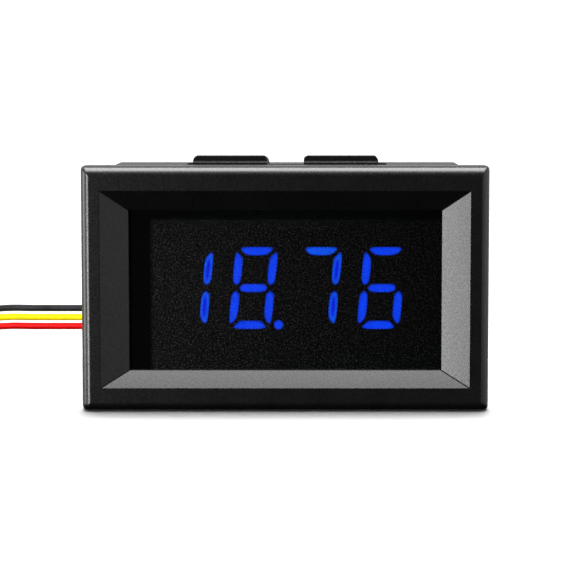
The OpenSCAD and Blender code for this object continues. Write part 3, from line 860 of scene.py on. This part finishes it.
tracks = []
lead_pitch, pin_pitch, pin_row = 0.65, 2.54, 5.08
for side in (-1, 1):
    for k in range(6):
        pin = ((k - 2.5) * pin_pitch, display_z + side * pin_row)
        lead_x = (k - 2.5) * lead_pitch
        shelf = display_z + side * (3.7 + 0.42 * min(k, 5 - k))
        tracks += route((lead_x, display_z + side * 3.1), (lead_x, shelf), (pin[0], shelf), pin)
supply = [(-17.5, -8.2), (-14.2, -8.2), (-14.2, -4.2), (-17.5, -2.2), (-17.5, -0.6)]
tracks += route(*supply)
tracks += route((-17.5, 2.2), (-13.6, 4.6), (-13.6, 7.2), (-12.2, 8.6))
tracks += route((-17.5, -9.45), (-12.8, -9.45), (-11.8, -8.4))
tracks += route((-17.5, -6.95), (-15.2, -5.6), (-15.2, -3.2), (-9.2, -3.2), (-4.6, -0.9))
tracks += route((9.4, 8.4), (12.6, 8.4), (12.6, 4.4), (15.5, 4.4))
tracks += route((15.5, 3.4), (15.5, 0.2), (8.2, 0.2))
tracks += route((7.4, -1.2), (11.4, -1.2), (11.4, -6.4), (6.9, -8.3))
track_green = mottled("resist_over_copper", (0.018, 0.16, 0.07), 0.3, 0.3, 0.004)
finish_piece(join_meshes(tracks, "tracks"), track_green, "meter")

# %% [markdown]
# The plated holes are rings: a cylinder's end is inset and the middle is pushed in. One is
# modelled and copied to each place.

# %% Drill the plated holes
VIAS = [(-13.2, -5.2), (-7.4, 5.8), (9.6, 4.9), (9.6, -5.7), (12.6, 1.8), (18.6, -3.4),
        (18.6, -6.2), (-19.6, 4.4), (-6.9, -6.4), (3.2, 10.6), (-3.4, 10.6), (17.9, 9.9),
        (13.4, -9.6)]
bpy.ops.object.select_all(action="DESELECT")
bpy.ops.mesh.primitive_cylinder_add(vertices=20, radius=0.38 * MM, depth=0.05 * MM,
                                    location=(0, 0, 0), rotation=(math.radians(90), 0, 0))
via = bpy.context.object
bpy.ops.object.transform_apply(location=True, rotation=True, scale=True)
pick_faces(via, lambda middle, normal, area: normal.y > 0.9)
bpy.ops.mesh.inset(thickness=0.17 * MM)
bpy.ops.mesh.extrude_region_move(TRANSFORM_OT_translate={"value": (0, -0.045 * MM, 0)})
bpy.ops.object.mode_set(mode="OBJECT")


def copies_at(model, places, depth):
    """Copies of a model, each with its own mesh, at places given as x and z."""
    made = []
    for x, z in places:
        copy = bpy.data.objects.new(model.name, model.data.copy())
        bpy.context.scene.collection.objects.link(copy)
        copy.location = Vector((x, depth, z)) * MM
        made.append(copy)
    bpy.data.objects.remove(model)
    return made


tinned_copper = mottled("tinned_copper", (0.72, 0.7, 0.66), 0.3, 0.08, 0.006, 1.0)
vias = join_meshes(copies_at(via, VIAS, board_back + 0.025), "plated_holes")
finish_piece(vias, tinned_copper, "meter")

# %% Print the outlines


def outline(x, z, width, height, line=0.16):
    """A printed rectangle: a plane inset by the line's width, its middle deleted, solidified."""
    bpy.ops.object.select_all(action="DESELECT")
    bpy.ops.mesh.primitive_plane_add(size=1, location=(x * MM, (board_back + 0.012) * MM, z * MM),
                                     rotation=(math.radians(-90), 0, 0))
    piece = bpy.context.object
    piece.scale = (width * MM, height * MM, 1)
    bpy.ops.object.transform_apply(location=True, rotation=True, scale=True)
    bpy.ops.object.mode_set(mode="EDIT")
    bpy.ops.mesh.inset(thickness=line * MM)
    bpy.ops.mesh.delete(type="FACE")
    bpy.ops.object.mode_set(mode="OBJECT")
    solid = piece.modifiers.new("ink", "SOLIDIFY")
    solid.thickness = 0.012 * MM
    bpy.ops.object.modifier_apply(modifier=solid.name)
    return piece


# round the header, the trimmer, the diode, the regulator and the can
prints = [outline(-17.5, header_z, 4.1, 6.7), outline(15.5, 6.5, 5.4, 7.6),
          outline(-17.5, 0.5, 6.4, 3.4), outline(-10.5, 8.6, 5.2, 7.0),
          outline(-16.8, 7.6, 4.9, 4.9)]
ink = mottled("white_ink", (0.72, 0.73, 0.7), 0.6, 0.1, 0.004)
finish_piece(join_meshes(prints, "printed_outlines"), ink, "meter")

# %% [markdown]
# ## The parts on the board
# Moulded packages have rounded edges, and a dimple marks the controller's first lead. It is cut
# with a ball that is sunk in by less than half, and a Boolean modifier. The capacitor's can is
# spun from a profile with its crimped groove, and its dark sector is painted by position.

# %% Dress the chips
moulding = mottled("moulding_compound", (0.02, 0.02, 0.022), 0.62, 0.07, 0.012)


def dimple(piece, x, back, z, radius):
    bpy.ops.object.select_all(action="DESELECT")
    bpy.ops.mesh.primitive_uv_sphere_add(segments=24, ring_count=12, radius=radius * MM,
                                         location=(x * MM, (back + radius * 0.6) * MM, z * MM))
    ball = bpy.context.object
    make_active(piece)
    cut = piece.modifiers.new("dimple", "BOOLEAN")
    cut.object = ball
    cut.operation = "DIFFERENCE"
    bpy.ops.object.modifier_apply(modifier=cut.name)
    bpy.data.objects.remove(ball)


for node, name, radius, mark in (
        ("controller_body", "controller_chip", 0.08, (-2.7, -1.6, 0.4)),
        ("regulator_body", "regulator_chip", 0.1, None),
        ("diode_body", "diode_chip", 0.12, None)):
    chip = copy_node(node, name)
    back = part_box(node)[1].y / MM
    soften(chip, radius, 2)
    if mark:
        dimple(chip, mark[0], back, mark[1], mark[2])
    finish_piece(chip, moulding, "meter", [node])

# %% Mark the diode's cathode
band_box = [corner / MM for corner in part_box("diode_body")]
bpy.ops.object.select_all(action="DESELECT")
bpy.ops.mesh.primitive_cube_add(size=1, location=(
    (band_box[0].x + 0.75) * MM, band_box[1].y * MM, (band_box[0].z + band_box[1].z) / 2 * MM))
band = bpy.context.object
band.name = "cathode_band"
band.scale = (0.55 * MM, 0.04 * MM, (band_box[1].z - band_box[0].z - 0.3) * MM)
bpy.ops.object.transform_apply(location=True, rotation=False, scale=True)
soften(band, 0.015, 2)
grey_ink = mottled("grey_ink", (0.45, 0.45, 0.46), 0.6, 0.08, 0.004)
finish_piece(band, grey_ink, "meter")

# %% Spin the capacitor's can
can_low, can_high = (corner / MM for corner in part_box("capacitor_can"))
can_middle = (can_low + can_high) / 2
can_r, can_l = (can_high.x - can_low.x) / 2, can_high.y - can_low.y
# radius and distance from the can's foot
can_profile = [(0, 0), (can_r - 0.12, 0), (can_r, 0.1), (can_r, 0.75), (can_r - 0.1, 0.86),
               (can_r - 0.13, 0.98), (can_r - 0.1, 1.1), (can_r, 1.2), (can_r, can_l - 0.35),
               (can_r - 0.06, can_l - 0.14), (can_r - 0.2, can_l - 0.03), (can_r - 0.35, can_l),
               (can_r - 0.5, can_l - 0.04), (0, can_l - 0.04)]


def spin_profile(name, profile, middle_x, foot_y, middle_z, steps=48):
    """A turned shape on an axis along Y, spun from its profile."""
    mesh = bpy.data.meshes.new(name)
    mesh.from_pydata([((middle_x + r) * MM, (foot_y + y) * MM, middle_z * MM) for r, y in profile],
                     [(i, i + 1) for i in range(len(profile) - 1)], [])
    piece = bpy.data.objects.new(name, mesh)
    bpy.context.scene.collection.objects.link(piece)
    make_active(piece)
    bpy.ops.object.mode_set(mode="EDIT")
    bpy.ops.mesh.select_all(action="SELECT")
    bpy.ops.mesh.spin(steps=steps, angle=math.tau, axis=(0, 1, 0),
                      center=(middle_x * MM, foot_y * MM, middle_z * MM))
    bpy.ops.mesh.select_all(action="SELECT")
    bpy.ops.mesh.remove_doubles(threshold=0.001 * MM)
    bpy.ops.mesh.normals_make_consistent(inside=False)
    bpy.ops.object.mode_set(mode="OBJECT")
    return piece


can = spin_profile("capacitor_can_turned", can_profile, can_middle.x, can_low.y, can_middle.z)
aluminium, shader = finish("drawn_aluminium", (0.78, 0.78, 0.78), 0.3, metallic=1.0)
on_top = along(aluminium, "Y", can_high.y - 0.3, can_high.y - 0.15)
sector = along(aluminium, "X", can_middle.x - 0.75, can_middle.x - 0.85)
drawn = noise(aluminium, 0.12, 3, (1, 0.15, 1))
connect(aluminium, colour_by(aluminium, times(aluminium, on_top, sector), (0.78, 0.78, 0.77),
                             (0.015, 0.015, 0.017), 0.4, 0.6), shader, "Base Color")
connect(aluminium, blend_by(aluminium, drawn, 0.24, 0.38), shader, "Roughness")
bump(aluminium, shader, drawn, 0.004, 0.4)
finish_piece(can, aluminium, "meter", ["capacitor_can"], 30)

base = copy_node("capacitor_base", "capacitor_foot")
low, high = (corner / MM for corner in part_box("capacitor_base"))
round_edges(base, lambda a, b: near(a.x, low.x) and near(b.x, low.x) and near(a.z, b.z), 0.9, 1)
soften(base, 0.06)
finish_piece(base, moulding, "meter", ["capacitor_base"])

# %% [markdown]
# Chip capacitors and resistors are blocks with tinned ends wrapped round them. The ends are made
# from the blocks themselves: a copy keeps only its end faces, which are extruded inwards and
# then swollen by a hair.

# %% Wrap the chips' ends
ceramic = mottled("fired_ceramic", (0.44, 0.3, 0.17), 0.5, 0.08, 0.008)
glaze = mottled("black_glaze", (0.02, 0.02, 0.022), 0.28, 0.1, 0.004)
for node, name, made, slot, largest, reach in (
        ("ceramic_capacitors", "ceramic_blocks", ceramic, "ceramic", 1.3, 0.4),
        ("chip_resistors", "resistor_blocks", glaze, "resistor", 0.5, 0.3)):
    blocks = copy_node(node, name)
    ends = copy_node(node, name + "_ends")
    soften(blocks, 0.05)
    finish_piece(blocks, made, "meter", [node])
    pick_faces(ends, lambda middle, normal, area: area > largest or abs(normal.y) > 0.5)
    bpy.ops.mesh.delete(type="FACE")
    bpy.ops.mesh.select_all(action="SELECT")
    bpy.ops.mesh.extrude_region_shrink_fatten(TRANSFORM_OT_shrink_fatten={"value": -reach * MM})
    bpy.ops.mesh.select_all(action="SELECT")
    bpy.ops.mesh.normals_make_consistent(inside=False)
    bpy.ops.mesh.select_all(action="SELECT")
    bpy.ops.transform.shrink_fatten(value=0.02 * MM)
    bpy.ops.object.mode_set(mode="OBJECT")
    soften(ends, 0.05)
    finish_piece(ends, tinned_copper, "meter")

# %% [markdown]
# ## The trimmer and the header
# These are small mouldings. They keep the frame's shapes with softened edges. The trimmer's rotor is
# its own piece, because it turns. The bottom of its cross slot is painted dark: painted shade, so
# that the slot shows.

# %% Soften the small mouldings
blue_plastic = mottled("blue_plastic", (0.012, 0.075, 0.33), 0.4, 0.15, 0.008)
off_white, painted_slot_shade = (0.74, 0.73, 0.68), (0.09, 0.08, 0.07)
rotor_white = mottled("rotor_white", off_white, 0.42, 0.12, 0.006)
rotor_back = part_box("trimmer_rotor")[1].y / MM
# painted shade: the rotor is painted darker below this depth, at the bottom of its cross slot
above_slot_shade = along(rotor_white, "Y", rotor_back - 0.34, rotor_back - 0.12)
connect(rotor_white, colour_by(rotor_white, above_slot_shade, painted_slot_shade, off_white, 0.1, 0.9),
        rotor_white.node_tree.nodes["Principled BSDF"], "Base Color")
for node, name, made, body, slot, radius in (
        ("trimmer_body", "trimmer_case", blue_plastic, "meter", "trimmer_plastic", 0.1),
        ("trimmer_rotor", "trimmer_screw_head", rotor_white, "trimmer_screw", "rotor_plastic", 0.05),
        ("header_housing", "board_header", cream_nylon, "meter", "cream_plastic", 0.05)):
    piece = copy_node(node, name)
    soften(piece, radius)
    finish_piece(piece, made, body, [node])

# %% [markdown]
# ## The remaining nodes
# These frame nodes have the right shape already, so they keep it and get a finish.

# %% Finish the remaining nodes


def dress(made, *nodes):
    for name in nodes:
        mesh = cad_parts[name].data
        mesh.materials.clear()
        mesh.materials.append(made)


dress(tinned, "controller_leads", "regulator_leads", "diode_leads", "trimmer_leads",
      "header_pins", "plug_contacts", "display_pins")
dress(mottled("solder", (0.66, 0.67, 0.68), 0.22, 0.2, 0.015, 1.0), "solder_joints")
dress(resist, "display_board")
dress(mottled("display_black", (0.01, 0.01, 0.011), 0.6, 0.15, 0.01), "display_housing")
dress(mottled("clear_epoxy", (0.012, 0.0125, 0.014), 0.4, 0.2, 0.005), "dark_segments")
dress(mottled("gold_die", (0.8, 0.6, 0.25), 0.3, 0.05, 0.003, 1.0), "led_dies")

# %% [markdown]
# ## Balancing the light
# Black plastic throws back so little that its softboxes are far too strong for anything paler.
# So the leads, the tie and the parts inside the case are unlinked from them, and get two weaker
# softboxes of their own. The leads also block no light of the table's small sun, because so thin
# a shadow on a bare table only distracts.

# %% Balance the light
paler = bpy.data.collections.new("paler")
for piece in [o for o in bpy.data.objects if o.type in ("MESH", "CURVE")]:
    if piece not in (table, case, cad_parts["filter"]):
        off_table.objects.link(piece)
        paler.objects.link(piece)
softbox("mild_overhead", 0, 70, 0.56, (0.9, 0.5), 2.2).light_linking.receiver_collection = paler
softbox("mild_front", -30, 20, 0.6, (0.5, 0.4), 8).light_linking.receiver_collection = paler
for lead in leads.values():
    not_leads.objects.link(lead)
for unlinked in (off_table, not_leads):
    for holder in unlinked.collection_objects:
        holder.light_linking.link_state = "EXCLUDE"
